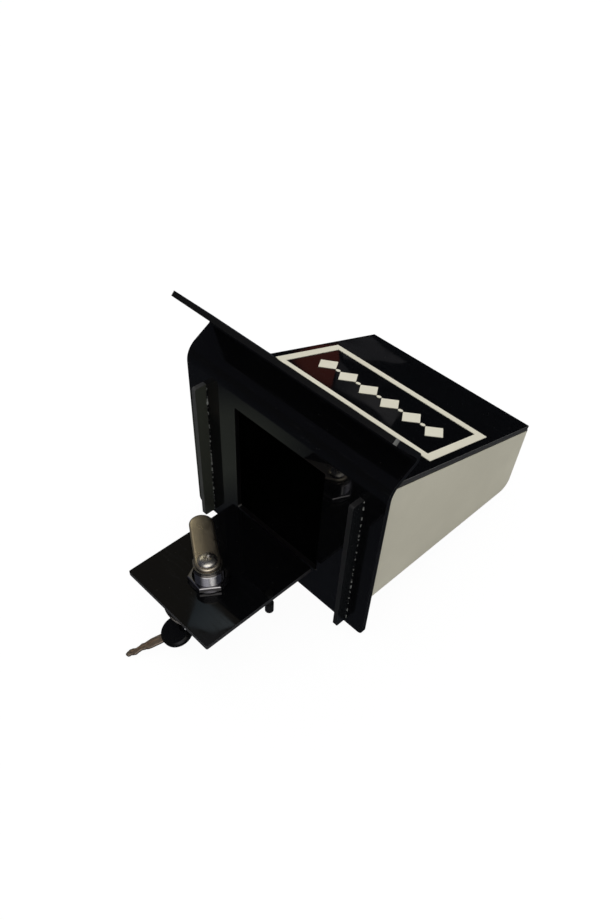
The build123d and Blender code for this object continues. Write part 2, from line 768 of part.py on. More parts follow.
with BuildPart() as key_ring:
    with BuildSketch(ring_section):
        with Locations((ring_radius, 0)):
            RegularPolygon(ring_wire / 2, wire_facets)
    revolve(axis=Axis(ring_centre, ring_normal), revolution_arc=360 - ring_split)
keep(key_ring, "key_ring")

# --- lay the box down on the table and write one file for each piece ---------------------
laid = [piece.rotate(Axis.X, -degrees(table_tilt)) for piece in finished]
boxes = [piece.bounding_box() for piece in laid]
front = min(box.min.Y for box in boxes)
back = max(box.max.Y for box in boxes)
low = min(box.min.Z for box in boxes)
for piece, laid_piece in zip(finished, laid):
    resting = laid_piece.moved(Location((0, -(front + back) / 2, -low)))
    resting.label = piece.label
    export_step(resting, f"parts/{piece.label}.step")
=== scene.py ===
import math

import bmesh
import bpy
from mathutils import Matrix, Vector, noise


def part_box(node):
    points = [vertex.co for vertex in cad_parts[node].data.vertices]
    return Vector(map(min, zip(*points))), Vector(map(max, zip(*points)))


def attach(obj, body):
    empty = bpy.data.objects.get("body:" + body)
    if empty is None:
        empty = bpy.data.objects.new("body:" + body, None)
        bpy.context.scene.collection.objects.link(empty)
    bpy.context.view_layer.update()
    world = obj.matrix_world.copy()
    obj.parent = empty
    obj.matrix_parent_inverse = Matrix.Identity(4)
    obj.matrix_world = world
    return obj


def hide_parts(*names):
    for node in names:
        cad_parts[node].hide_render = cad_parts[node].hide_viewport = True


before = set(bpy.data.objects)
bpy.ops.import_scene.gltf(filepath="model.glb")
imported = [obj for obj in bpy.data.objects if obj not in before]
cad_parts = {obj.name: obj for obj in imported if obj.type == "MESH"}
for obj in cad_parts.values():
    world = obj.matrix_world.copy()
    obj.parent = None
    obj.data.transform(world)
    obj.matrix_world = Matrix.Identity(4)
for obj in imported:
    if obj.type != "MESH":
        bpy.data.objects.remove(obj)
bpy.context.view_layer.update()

# --- camera ---------------------------------------------------------------------------
# The box is seen from above its right-hand front corner, from about 0.4 m away, with
# the lens shifted so that the box sits a little above the middle of an upright frame.
eye = Vector((0.20394, -0.196314, 0.372479))
looking = Vector((-0.42449206, 0.42004476, -0.80210275))
upright = Vector((-0.56677761, 0.56757392, 0.59717919))
camera = bpy.data.objects.new("camera", bpy.data.cameras.new("camera"))
bpy.context.scene.collection.objects.link(camera)
sideways = looking.cross(upright).normalized()
facing = Matrix((sideways, sideways.cross(looking), -looking)).transposed()
camera.matrix_world = Matrix.Translation(eye) @ facing.to_4x4()
camera.data.sensor_width = 36.0
camera.data.lens = 27.873
camera.data.shift_x = -0.00554
camera.data.shift_y = 0.09271
camera.data.clip_start = 0.01
bpy.context.scene.camera = camera

# --- mounting plate -------------------------------------------------------------------
# One sheet of 3 mm black cast acrylic, heated along two lines and bent into a knee and a
# flange. The faces keep their polish, with wipe marks, hairlines and dust; the saw-cut rims
# are grey and dull. A painted highlight lies along the eased edges and the flange's top rim.
millimetre = 0.001
lie = math.radians(4.66076481)
lying = Matrix.Rotation(-lie, 4, "X")
pin_low, pin_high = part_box("hinge_pin")
pin_centre = Vector((0, -6.15, 24.0)) * millimetre
laid = Matrix.Translation((pin_low + pin_high) / 2 - lying @ pin_centre) @ lying


def new_finish(name):
    """Start a finish: the material, its node tree and its principled shader."""
    finish = bpy.data.materials.new(name)
    finish.use_nodes = True
    tree = finish.node_tree
    return finish, tree, tree.nodes["Principled BSDF"]


def wire(tree, kind, feeds=(), out=0, **settings):
    """Add one shader node, feed its inputs with numbers or sockets, and return an output."""
    made = tree.nodes.new("ShaderNode" + kind)
    for key, value in settings.items():
        setattr(made, key, value)
    for key, value in dict(feeds).items():
        if isinstance(value, bpy.types.NodeSocket):
            tree.links.new(value, made.inputs[key])
        else:
            made.inputs[key].default_value = value
    return made.outputs[out]


def blend_colours(tree, share, first, second):
    """Mix two colours, each a socket or three numbers, by a share socket."""
    feeds = {0: share}
    for slot, colour in ((6, first), (7, second)):
        feeds[slot] = colour if isinstance(colour, bpy.types.NodeSocket) else (*colour, 1)
    return wire(tree, "Mix", feeds, out=2, data_type="RGBA")


def spread(tree, value, low, high, to_low, to_high):
    """Map a value from one range to another, held at the ends."""
    return wire(tree, "MapRange", {0: value, 1: low, 2: high, 3: to_low, 4: to_high})


def maths(tree, operation, first, second):
    """One sum on two values or sockets."""
    return wire(tree, "Math", {0: first, 1: second}, operation=operation)


def within(tree, value, low, high):
    """1 where a value lies between two limits."""
    return maths(tree, "MULTIPLY", maths(tree, "GREATER_THAN", value, low),
                 maths(tree, "LESS_THAN", value, high))


def cut_masks(tree, flat, cuts, flange_above):
    """Where a sheet is saw-cut, and where its eased edges get a painted highlight, from how it
    faces.
    """
    facing_out = wire(tree, "TexCoord", out="Normal")
    place = wire(tree, "TexCoord", out="Object")

    def towards(direction):
        return wire(tree, "VectorMath", {0: facing_out, 1: lying @ Vector(direction)},
                    out="Value", operation="DOT_PRODUCT")

    if flat is not None:
        level = maths(tree, "ABSOLUTE", towards(flat), 0)
        return maths(tree, "LESS_THAN", level, 0.7), within(tree, level, 0.25, 0.95)
    height = wire(tree, "SeparateXYZ", {0: place}, out="Z")
    rim = 0.0
    for direction, above in cuts:
        here = maths(tree, "GREATER_THAN", towards(direction), 0.95)
        here = maths(tree, "MULTIPLY", here, maths(tree, "GREATER_THAN", height, above))
        rim = maths(tree, "MAXIMUM", rim, here)
    eased = 0.0
    if flange_above:
        eased = within(tree, maths(tree, "ABSOLUTE", towards((1, 0, 0)), 0), 0.2, 0.95)
        tip = maths(tree, "MULTIPLY", maths(tree, "GREATER_THAN", towards((0, 0, 1)), 0.86),
                    maths(tree, "GREATER_THAN", height, flange_above))
        eased = maths(tree, "MAXIMUM", eased, tip)
    return rim, eased


def black_acrylic(name, flat=None, cuts=(), rim_grey=0.035, tone=(0.0022, 0.0023, 0.0027),
                  dulled=0.0, flange_above=0.0):
    """Polished black sheet with wipe marks, hairlines, dust, dull grey rims and painted edge
    highlights.
    """
    finish, tree, shader = new_finish(name)
    place = wire(tree, "TexCoord", out="Object")
    rim, eased = cut_masks(tree, flat, cuts, flange_above)
    wiped = wire(tree, "TexNoise", {"Vector": place, "Scale": 38.0, "Detail": 5.0,
                                    "Roughness": 0.62, "Distortion": 0.6}, out="Fac")
    haze = spread(tree, wiped, 0.42, 0.72, 0.025 + dulled, 0.085 + dulled)
    drawn = wire(tree, "Mapping", {"Vector": place, "Rotation": (0.4, 0.3, 0.9),
                                   "Scale": (40.0, 2600.0, 900.0)})
    hair = wire(tree, "TexNoise", {"Vector": drawn, "Scale": 1.0, "Detail": 1.0}, out="Fac")
    hairline = spread(tree, hair, 0.705, 0.73, 0.0, 1.0)
    cells = tree.nodes.new("ShaderNodeTexVoronoi")
    cells.inputs["Scale"].default_value = 620.0
    tree.links.new(place, cells.inputs["Vector"])
    speck = spread(tree, cells.outputs["Distance"], 0.05, 0.09, 1.0, 0.0)
    chosen = wire(tree, "SeparateColor", {0: cells.outputs["Color"]}, out="Red")
    dust = maths(tree, "MULTIPLY", speck, maths(tree, "GREATER_THAN", chosen, 0.9))
    sheet_black = blend_colours(tree, dust, tone, (0.09, 0.085, 0.078))
    sheet_black = blend_colours(tree, maths(tree, "MULTIPLY", hairline, 0.25), sheet_black,
                                (0.03, 0.03, 0.032))
    sawn = wire(tree, "TexNoise", {"Vector": place, "Scale": 1400.0, "Detail": 2.0}, out="Fac")
    rim_tone = blend_colours(tree, sawn, (rim_grey * 0.4,) * 3,
                             (rim_grey * 1.5, rim_grey * 1.5, rim_grey * 1.55))
    sheet_black = blend_colours(tree, rim, sheet_black, rim_tone)
    # Painted highlight: the eased edges are lightened to grey, broken up by the wipe noise.
    painted_edge_highlight = maths(tree, "MULTIPLY", eased, spread(tree, wiped, 0.35, 0.6, 0.55, 1.0))
    sheet_black = blend_colours(tree, painted_edge_highlight, sheet_black, (0.2, 0.2, 0.19))
    tree.links.new(sheet_black, shader.inputs["Base Color"])
    rough = maths(tree, "ADD", haze, maths(tree, "MULTIPLY", hairline, 0.12))
    rough = maths(tree, "ADD", rough, maths(tree, "MULTIPLY", dust, 0.5))
    rough = maths(tree, "ADD", rough, maths(tree, "MULTIPLY", rim, 0.3))
    tree.links.new(rough, shader.inputs["Roughness"])
    swell = wire(tree, "TexNoise", {"Vector": place, "Scale": 16.0, "Detail": 1.0}, out="Fac")
    rising = maths(tree, "ADD", maths(tree, "MULTIPLY", swell, 0.00035),
                   maths(tree, "MULTIPLY", maths(tree, "MULTIPLY", sawn, rim), 0.00012))
    bump = wire(tree, "Bump", {"Height": rising, "Strength": 1.0, "Distance": 1.0})
    tree.links.new(bump, shader.inputs["Normal"])
    shader.inputs["IOR"].default_value = 1.49
    return finish


def dress(name, finish):
    """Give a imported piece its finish."""
    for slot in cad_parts[name].material_slots:
        slot.material = finish


def ease_edges(name, width, steps=2):
    """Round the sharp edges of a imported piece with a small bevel."""
    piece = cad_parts[name]
    weld = piece.modifiers.new("close the seams", "WELD")
    weld.merge_threshold = 1e-6
    bevel = piece.modifiers.new("eased edges", "BEVEL")
    bevel.width = width
    bevel.segments = steps
    bevel.limit_method = "ANGLE"
    bevel.angle_limit = math.radians(28)
    bevel.use_clamp_overlap = True
    flatten = piece.modifiers.new("flat faces kept flat", "WEIGHTED_NORMAL")
    flatten.mode = "FACE_AREA"
    flatten.weight = 100


half_root = math.sqrt(0.5)
everywhere = -1.0
plate_cuts = (
    ((1, 0, 0), everywhere),
    ((-1, 0, 0), everywhere),
    ((0, 0, 1), everywhere),
    ((0, 0, -1), everywhere),
    ((0, -half_root, half_root), 0.138),
)
dress("mounting_plate", black_acrylic("black acrylic plate", cuts=plate_cuts, rim_grey=0.004,
                                      flange_above=0.146))
ease_edges("mounting_plate", 0.00025)

# --- rails ----------------------------------------------------------------------------
# Two strips of the same sheet stand on edge on the front of the plate. They were flooded
# with solvent cement along both sides, which dried in a bubbly grey line.
# Painted light: the left rail gets a lighter, greenish black and paler rims than the right rail.
for rail, tone, rim_grey in (
    ("right_rail", (0.010, 0.011, 0.012), 0.018),
    ("left_rail", (0.060, 0.065, 0.052), 0.055),
):
    dress(rail, black_acrylic("black acrylic " + rail, flat=(1, 0, 0), rim_grey=rim_grey,
                              tone=tone, dulled=0.12))
    ease_edges(rail, 0.0003)


def settle(mesh_name, piece_name, build, body, finish, smooth=True):
    """Turn a bmesh drawn in the box's own millimetres into a piece that rides a body."""
    mesh = bpy.data.meshes.new(mesh_name)
    build.to_mesh(mesh)
    build.free()
    mesh.transform(laid @ Matrix.Scale(millimetre, 4))
    if smooth:
        mesh.shade_smooth()
    piece = bpy.data.objects.new(piece_name, mesh)
    bpy.context.scene.collection.objects.link(piece)
    mesh.materials.append(finish)
    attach(piece, body)
    return piece


def span_rings(build, rings, capped=True):
    """Join rings of corners, each to the next, and close both ends if they are capped."""
    for low_ring, high_ring in zip(rings, rings[1:]):
        for corner in range(len(low_ring)):
            after = (corner + 1) % len(low_ring)
            build.faces.new((low_ring[corner], low_ring[after],
                             high_ring[after], high_ring[corner]))
    if capped:
        build.faces.new(reversed(rings[0]))
        build.faces.new(rings[-1])


def cement():
    """Dried solvent cement: clear over black in places, whitened by bubbles in others."""
    finish, tree, shader = new_finish("dried cement")
    place = wire(tree, "TexCoord", out="Object")
    froth = wire(tree, "TexNoise", {"Vector": place, "Scale": 420.0, "Detail": 4.0}, out="Fac")
    white = spread(tree, froth, 0.52, 0.6, 0.0, 1.0)
    tone = blend_colours(tree, white, (0.004, 0.004, 0.004), (0.3, 0.31, 0.29))
    tree.links.new(tone, shader.inputs["Base Color"])
    tree.links.new(spread(tree, froth, 0.4, 0.7, 0.12, 0.5), shader.inputs["Roughness"])
    fine = wire(tree, "TexNoise", {"Vector": place, "Scale": 1900.0, "Detail": 2.0}, out="Fac")
    bump = wire(tree, "Bump", {"Height": fine, "Strength": 0.5, "Distance": 0.0003})
    tree.links.new(bump, shader.inputs["Normal"])
    shader.inputs["IOR"].default_value = 1.46
    return finish


cement_finish = cement()
rail_centre = 60.3            # from the middle of the plate to the middle of a rail
rail_half = 1.5
plate_front = -3.0
bead_lift = 0.12              # how far a bead's middle stands off the rail and the plate
bead_bottom = 3.6
bead_length = 101.6
bead_radius = 0.42
bead_swell = 0.34
bead_least = 0.1
bead_sides = 8
bead_steps = 240
for rail_name, rail_middle in (("right", rail_centre), ("left", -rail_centre)):
    for side in (1, -1):
        build = bmesh.new()
        rings = []
        for step in range(bead_steps + 1):
            share = step / bead_steps
            height = bead_bottom + share * bead_length
            seed = Vector((rail_middle, side * 3.1, height * 0.62))
            swell = noise.noise(seed) + 0.6 * noise.noise(seed * 3.1)
            radius = bead_radius + bead_swell * swell if 0 < share < 1 else bead_least
            radius = max(radius, bead_least)
            at_x = rail_middle + side * (rail_half + bead_lift)
            at_y = plate_front - bead_lift
            ring = []
            for corner in range(bead_sides):
                turn = 2 * math.pi * corner / bead_sides
                wobble = 1 + 0.35 * noise.noise(Vector((turn * 1.7, height * 1.3, side)))
                ring.append(build.verts.new((
                    at_x + radius * wobble * math.cos(turn),
                    at_y + radius * wobble * math.sin(turn),
                    height,
                )))
            rings.append(ring)
        span_rings(build, rings)
        side_name = "outer" if side * rail_middle > 0 else "inner"
        settle("cement bead", f"{rail_name}_rail_cement_{side_name}", build, "box",
               cement_finish)

# --- body: sides, face panel and the bent bottom sheet --------------------------------
# Black sheets cemented into a wedge-shaped box. One sheet is bent to make the bottom and the
# far end, where the slot for coins and notes is cut.
slope = math.radians(16.5)
side_finish = black_acrylic("black acrylic side", flat=(1, 0, 0))
dress("right_side_panel", side_finish)
dress("left_side_panel", side_finish)
dress("face_panel", black_acrylic("black acrylic face", flat=(0, math.sin(slope), math.cos(slope)),
                                  rim_grey=0.05))
bottom_cuts = (((1, 0, 0), everywhere), ((-1, 0, 0), everywhere))
dress("back_sheet", black_acrylic("black acrylic bottom", cuts=bottom_cuts))
for panel in ("right_side_panel", "left_side_panel", "face_panel"):
    ease_edges(panel, 0.0002)

# --- cream film -----------------------------------------------------------------------
# Self-adhesive cream vinyl: a skin over each side, cut a little short of the edges, and a
# border cut out for the face panel.


def cream_film():
    """Cream vinyl with a faint orange peel, rubbed patches and a few scuffs."""
    finish, tree, shader = new_finish("cream vinyl film")
    place = wire(tree, "TexCoord", out="Object")
    patch = wire(tree, "TexNoise", {"Vector": place, "Scale": 22.0, "Detail": 4.0}, out="Fac")
    cream = blend_colours(tree, spread(tree, patch, 0.35, 0.65, 0.0, 1.0),
                          (0.800, 0.765, 0.622), (0.855, 0.820, 0.672))
    drawn = wire(tree, "Mapping", {"Vector": place, "Rotation": (0.9, 0.2, 0.5),
                                   "Scale": (30.0, 60.0, 1500.0)})
    scuff = wire(tree, "TexNoise", {"Vector": drawn, "Scale": 1.0, "Detail": 2.0}, out="Fac")
    scuffed = maths(tree, "MULTIPLY", spread(tree, scuff, 0.70, 0.74, 0.0, 1.0), 0.25)
    cream = blend_colours(tree, scuffed, cream, (0.5, 0.45, 0.37))
    tree.links.new(cream, shader.inputs["Base Color"])
    tree.links.new(spread(tree, patch, 0.3, 0.7, 0.32, 0.44), shader.inputs["Roughness"])
    peel = wire(tree, "TexNoise", {"Vector": place, "Scale": 900.0, "Detail": 2.0}, out="Fac")
    bump = wire(tree, "Bump", {"Height": peel, "Strength": 0.12, "Distance": 0.0002})
    tree.links.new(bump, shader.inputs["Normal"])
    shader.inputs["IOR"].default_value = 1.45
    return finish


film_finish = cream_film()
for film_piece in ("right_side_skin", "left_side_skin", "border_frame"):
    dress(film_piece, film_finish)

# --- ornament inside the border -------------------------------------------------------
# A plain row of upright lozenges with small discs between them, cut from the same cream film
# and rubbed down on the face panel.
face_height = 112.6
row_along = 84.15             # middle of the row, along the slope from the plate
film_thickness = 0.3
lozenge_count = 6
lozenge_pitch = 17.0
lozenge_half_width = 6.5
lozenge_half_height = 9.8
disc_radius = 1.6
film_lift = 0.02

on_face = Matrix.Translation((0, 0, face_height)) @ Matrix.Rotation(-slope, 4, "X")


def film_shape(build, outline):
    """Add one flat shape of film with a thickness, its outline drawn on the face panel."""
    base = [build.verts.new(on_face @ Vector((u, v, film_lift))) for u, v in outline]
    top = [build.verts.new(on_face @ Vector((u, v, film_thickness))) for u, v in outline]
    build.faces.new(top)
    build.faces.new(reversed(base))
    for here in range(len(outline)):
        after = (here + 1) % len(outline)
        build.faces.new((base[here], base[after], top[after], top[here]))


build = bmesh.new()
for place_in_row in range(lozenge_count):
    middle = (place_in_row - (lozenge_count - 1) / 2) * lozenge_pitch
    film_shape(build, [
        (middle + lozenge_half_width, row_along),
        (middle, row_along + lozenge_half_height),
        (middle - lozenge_half_width, row_along),
        (middle, row_along - lozenge_half_height),
    ])
    if place_in_row < lozenge_count - 1:
        disc_middle = middle + lozenge_pitch / 2
        film_shape(build, [
            (disc_middle + disc_radius * math.cos(math.radians(turn)),
             row_along + disc_radius * math.sin(math.radians(turn)))
            for turn in range(0, 360, 15)
        ])
settle("lozenge row", "lozenge_row", build, "box", film_finish, smooth=False)

# --- hinge ----------------------------------------------------------------------------
# A small steel butt hinge, stove-enamelled black, with the pin left bright at its ends and
# domed aluminium rivets through both leaves.


def black_enamel():
    """Black stove enamel, worn to grey steel in small chips."""
    finish, tree, shader = new_finish("black enamel")
    place = wire(tree, "TexCoord", out="Object")
    chip = wire(tree, "TexNoise", {"Vector": place, "Scale": 520.0, "Detail": 5.0}, out="Fac")
    bare = spread(tree, chip, 0.66, 0.69, 0.0, 1.0)
    tree.links.new(blend_colours(tree, bare, (0.008, 0.008, 0.008), (0.35, 0.34, 0.33)),
                   shader.inputs["Base Color"])
    tree.links.new(bare, shader.inputs["Metallic"])
    tree.links.new(spread(tree, chip, 0.3, 0.7, 0.22, 0.42), shader.inputs["Roughness"])
    bump = wire(tree, "Bump", {"Height": chip, "Strength": 0.25, "Distance": 0.0002})
    tree.links.new(bump, shader.inputs["Normal"])
    return finish


def metal(name, bright, dull, roughness, grain=700.0, drawn=(1.0, 1.0, 1.0), pitted=0.15):
    """A metal whose tone and polish vary along a grain, with fine pitting in its surface."""
    finish, tree, shader = new_finish(name)
    place = wire(tree, "TexCoord", out="Object")
    stretched = wire(tree, "Mapping", {"Vector": place, "Scale": drawn})
    lines = wire(tree, "TexNoise", {"Vector": stretched, "Scale": grain, "Detail": 3.0}, out="Fac")
    cloud = wire(tree, "TexNoise", {"Vector": place, "Scale": 130.0, "Detail": 3.0}, out="Fac")
    tree.links.new(blend_colours(tree, spread(tree, cloud, 0.35, 0.7, 0.0, 1.0), bright, dull),
                   shader.inputs["Base Color"])
    shader.inputs["Metallic"].default_value = 1.0
    polish = maths(tree, "ADD", spread(tree, cloud, 0.3, 0.75, roughness * 0.8, roughness * 1.3),
                   spread(tree, lines, 0.35, 0.7, 0.0, roughness * 0.35))
    tree.links.new(polish, shader.inputs["Roughness"])
    bump = wire(tree, "Bump", {"Height": lines, "Strength": pitted, "Distance": 0.0001})
    tree.links.new(bump, shader.inputs["Normal"])
    return finish


enamel = black_enamel()
dress("hinge_plate_leaf", enamel)
dress("hinge_door_leaf", enamel)
dress("hinge_pin", metal("bright pin steel", (0.56, 0.55, 0.53), (0.42, 0.41, 0.39), 0.24))
ease_edges("hinge_pin", 0.0002)
rivet_finish = metal("rivet aluminium", (0.74, 0.74, 0.74), (0.58, 0.58, 0.58), 0.3)


def turned(build, profile, at, axis, steps=40):
    """Add a turned shape: profile is (radius, height) pairs from the bottom up the axis."""
    axis = Vector(axis).normalized()
    across = axis.orthogonal().normalized()
    other = axis.cross(across)
    rings = []
    for radius, height in profile:
        middle = Vector(at) + axis * height
        if radius == 0:
            rings.append([build.verts.new(middle)])
            continue
        rings.append([
            build.verts.new(middle + radius * (
                across * math.cos(2 * math.pi * step / steps)
                + other * math.sin(2 * math.pi * step / steps)))
            for step in range(steps)
        ])
    for low_ring, high_ring in zip(rings, rings[1:]):
        for step in range(steps):
            after = (step + 1) % steps
            if len(low_ring) == 1:
                build.faces.new((low_ring[0], high_ring[after], high_ring[step]))
            elif len(high_ring) == 1:
                build.faces.new((low_ring[step], low_ring[after], high_ring[0]))
            else:
                build.faces.new((low_ring[step], low_ring[after],
                                 high_ring[after], high_ring[step]))


rivet_head = [(0, 0), (2.6, 0), (2.56, 0.16), (2.3, 0.42), (1.8, 0.62), (1.15, 0.74),
              (0.8, 0.78), (0.72, 0.6), (0, 0.56)]
rivet_shank = [(0, -3.6), (1.45, -3.6), (1.45, 0.0), (0, 0.0)]
rivet_half_pitch = 10
plate_rivet_points = [(x, -4.0, 15.5) for x in (-rivet_half_pitch, rivet_half_pitch)]
door_rivet_points = [(x, -14.65, 26.15) for x in (-rivet_half_pitch, rivet_half_pitch)]
for rivets, body, points, outwards in (
    ("hinge_plate_rivets", "box", plate_rivet_points, (0, -1, 0)),
    ("hinge_door_rivets", "door", door_rivet_points, (0, 0, -1)),
):
    build = bmesh.new()
    for point in points:
        turned(build, rivet_head, point, outwards)
        turned(build, rivet_shank, point, outwards)
    piece = settle("domed rivets", rivets + "_domed", build, body, rivet_finish)
    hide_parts(rivets)

# --- door -----------------------------------------------------------------------------
# A flat panel of the same black sheet, with a small moulded black pull underneath, held by
# a blackened screw.
dress("door_panel", black_acrylic("black acrylic door", flat=(0, 0, 1), rim_grey=0.05))
ease_edges("door_panel", 0.00025)


def black_moulding(name, tone, roughness, grain):
    """Black plastic, or a blackened small part, with a fine grain."""
    finish, tree, shader = new_finish(name)
    place = wire(tree, "TexCoord", out="Object")
    cloud = wire(tree, "TexNoise", {"Vector": place, "Scale": 90.0, "Detail": 4.0}, out="Fac")
    tree.links.new(blend_colours(tree, cloud, (tone * 0.6,) * 3, (tone * 1.4,) * 3),
                   shader.inputs["Base Color"])
    tree.links.new(spread(tree, cloud, 0.3, 0.7, roughness * 0.8, roughness * 1.25),
                   shader.inputs["Roughness"])
    pebble = wire(tree, "TexNoise", {"Vector": place, "Scale": grain, "Detail": 3.0}, out="Fac")
    bump = wire(tree, "Bump", {"Height": pebble, "Strength": 0.3, "Distance": 0.0001})
    tree.links.new(bump, shader.inputs["Normal"])
    return finish


dress("door_knob", black_moulding("black knob plastic", 0.012, 0.22, 1500.0))
ease_edges("door_knob", 0.0003)
dress("knob_screw", black_moulding("blackened screw", 0.003, 0.12, 900.0))
ease_edges("knob_screw", 0.0003)

# --- cam lock housing, washer and nut -------------------------------------------------
# A die-cast, chrome-plated housing with a fine thread and two flats, held in the door by a
# dark steel washer and a thin bright hexagon nut.
chrome = metal("lock chrome", (0.46, 0.46, 0.48), (0.37, 0.37, 0.4), 0.1, pitted=0.08)
nut_chrome = metal("nut chrome", (0.66, 0.65, 0.67), (0.5, 0.49, 0.52), 0.13, grain=900.0,
                   pitted=0.12)
dress("lock_housing", chrome)
dress("lock_washer", metal("dark washer steel", (0.14, 0.14, 0.15), (0.09, 0.09, 0.1), 0.24))
ease_edges("lock_washer", 0.0001)

lock_y = -55.35
nut_low = 30.95
nut_high = 33.75
nut_apothem = 10.6
nut_hole = 9.5
nut_edge = 0.75               # bevel along the top edges
nut_foot = 0.15               # bevel along the bottom edges
hole_steps = 48
nut_heading = math.radians(-5)
build = bmesh.new()
rings = []
for apothem, height in ((nut_apothem - nut_foot, nut_low), (nut_apothem, nut_low + nut_foot),
                        (nut_apothem, nut_high - nut_edge),
                        (nut_apothem - 0.3 * nut_edge, nut_high - 0.3 * nut_edge),
                        (nut_apothem - nut_edge, nut_high)):
    radius = apothem / math.cos(math.radians(30))
    ring = []
    for corner in range(6):
        turn = nut_heading + math.radians(60 * corner)
        ring.append(build.verts.new((radius * math.cos(turn), lock_y + radius * math.sin(turn),
                                     height)))
    rings.append(ring)
hole = []
for height in (nut_high, nut_low):
    ring = []
    for step in range(hole_steps):
        turn = nut_heading + math.radians(360 / hole_steps * step)
        ring.append(build.verts.new((nut_hole * math.cos(turn), lock_y + nut_hole * math.sin(turn),
                                     height)))
    hole.append(ring)
span_rings(build, rings, capped=False)
span_rings(build, hole, capped=False)
for outer, inner, upward in ((rings[-1], hole[0], True), (rings[0], hole[1], False)):
    for corner in range(6):
        after = (corner + 1) % 6
        arc_steps = hole_steps // 6
        arc = [inner[(arc_steps * corner + step) % hole_steps] for step in range(arc_steps + 1)]
        face = [outer[corner], outer[after]] + arc[::-1]
        build.faces.new(face if upward else face[::-1])
nut = settle("hexagon nut", "lock_nut_bevelled", build, "door", nut_chrome,
             smooth=False)
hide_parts("lock_nut")

lock_heading = 147.5          # degrees from +X to the lever; the key's flats lie across it
key_turn = math.radians(lock_heading + 90)
flat_half = 8.2
flat_gap = 0.05               # how far the thread stays inside the flats
thread_pitch = 1.0
thread_root = 9.32
thread_crest = 9.72
thread_start = 33.9
thread_end = 42.05
thread_top = 42.1
thread_steps = 120
thread_run_out = 24           # steps over which the thread fades at each end
thread_shape = ((-0.42, thread_root), (-0.08, thread_crest), (0.08, thread_crest),
                (0.42, thread_root))
build = bmesh.new()
turns = (thread_end - thread_start) / thread_pitch
total_steps = int(turns * thread_steps)
rows = []
for step in range(total_steps + 1):
    turn = 2 * math.pi * step / thread_steps
    middle = thread_start + thread_pitch * step / thread_steps
    fade = min(1.0, step / thread_run_out, (total_steps - step) / thread_run_out)
    reach_to_flat = flat_half / max(abs(math.cos(turn - key_turn)), 1e-6) - flat_gap
    row = []
    for drop, radius in thread_shape:
        radius = thread_root + (radius - thread_root) * fade
        radius = min(radius, max(reach_to_flat, flat_half - flat_gap))
        row.append(build.verts.new((radius * math.cos(turn),
                                    lock_y + radius * math.sin(turn),
                                    min(max(middle + drop, thread_start - 0.1), thread_top))))
    rows.append(row)
for low_row, high_row in zip(rows, rows[1:]):
    for edge in range(3):
        build.faces.new((low_row[edge], high_row[edge], high_row[edge + 1], low_row[edge + 1]))
settle("barrel thread", "lock_barrel_thread", build, "door", chrome,
       smooth=False)

# --- lock plug, wafers, stop washer and lever -----------------------------------------
# The plug turns in the housing and carries brass wafers, a notched stop washer and the cam
# lever, a satin steel strip that is held on the plug's square by one screw.
plug_finish = metal("plug zinc", (0.6, 0.59, 0.57), (0.45, 0.44, 0.42), 0.28)
dress("lock_plug", plug_finish)
# Painted shade: the stop washer's zinc is darker and browner than the plug's, for the shade under
# the lever.
dress("stop_washer", metal("washer zinc", (0.34, 0.32, 0.29), (0.24, 0.22, 0.2), 0.16))
ease_edges("stop_washer", 0.00015)
dress("lock_wafers", metal("wafer brass", (0.72, 0.52, 0.22), (0.55, 0.38, 0.15), 0.25))
lever_finish = metal("lever steel", (0.76, 0.68, 0.54), (0.66, 0.59, 0.47), 0.28, grain=60.0,
                     drawn=(4.0, 4.0, 60.0), pitted=0.3)
lever_under = 44.15
lever_top = 46.15
lever_half = 7.2
lever_far_centre = 28.4       # from the lock's axis to the centre of the rounded tip
lever_crown = 0.5
lever_heading = math.radians(lock_heading)
lever_arc = 28
levels = [(0.4, lever_under), (0.12, lever_under + 0.12), (0.0, lever_under + 0.4),
          (0.0, lever_top - 1.3), (0.1, lever_top - 1.0), (0.3, lever_top - 0.74),
          (0.62, lever_top - 0.54)]
for inset in (1.1, 1.8, 2.6, 3.8, 5.2, 6.6, 7.15):
    levels.append((inset, lever_top - lever_crown * ((lever_half - inset) / lever_half) ** 2))
along = Vector((math.cos(lever_heading), math.sin(lever_heading), 0))
aside = Vector((-along.y, along.x, 0))
build = bmesh.new()
rings = []
for inset, height in levels:
    radius = lever_half - inset
    ring = []
    for centre, first_turn in ((lever_far_centre, -90), (0.0, 90)):
        for step in range(lever_arc + 1):
            turn = math.radians(first_turn + 180 * step / lever_arc)
            spot = (Vector((0, lock_y, height)) + along * (centre + radius * math.cos(turn))
                    + aside * (radius * math.sin(turn)))
            ring.append(build.verts.new(spot))
    rings.append(ring)
span_rings(build, rings)
lever = settle("pressed lever", "cam_lever_crowned", build, "plug", lever_finish)
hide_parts("cam_lever")

# --- cam screw ------------------------------------------------------------------------
# A domed zinc-plated machine screw with a cross recess, turned down hard on the lever.
screw_finish = metal("screw zinc", (0.93, 0.91, 0.85), (0.74, 0.7, 0.62), 0.24, pitted=0.3)
screw_head = [(0, 0), (5.6, 0), (5.7, 0.2), (5.62, 0.5), (5.2, 1.0), (4.3, 1.5),
              (3.1, 1.85), (1.6, 2.05), (0, 2.1)]
screw_shank = [(0, -4.3), (2.4, -4.3), (2.4, 0), (0, 0)]
build = bmesh.new()
turned(build, screw_head, (0, lock_y, lever_top), (0, 0, 1), steps=64)
turned(build, screw_shank, (0, lock_y, lever_top), (0, 0, 1))
screw = settle("domed screw", "cam_screw_domed", build, "plug", screw_finish)
build = bmesh.new()
cross_half = 3.1              # half length of an arm of the cross, at its mouth
cross_arm = 0.6               # half width of an arm
cross_least = 0.45            # least half width, where the cross tapers in
cross_taper = 0.45            # the cross at its floor, as a share of its mouth
cross_turn = 28
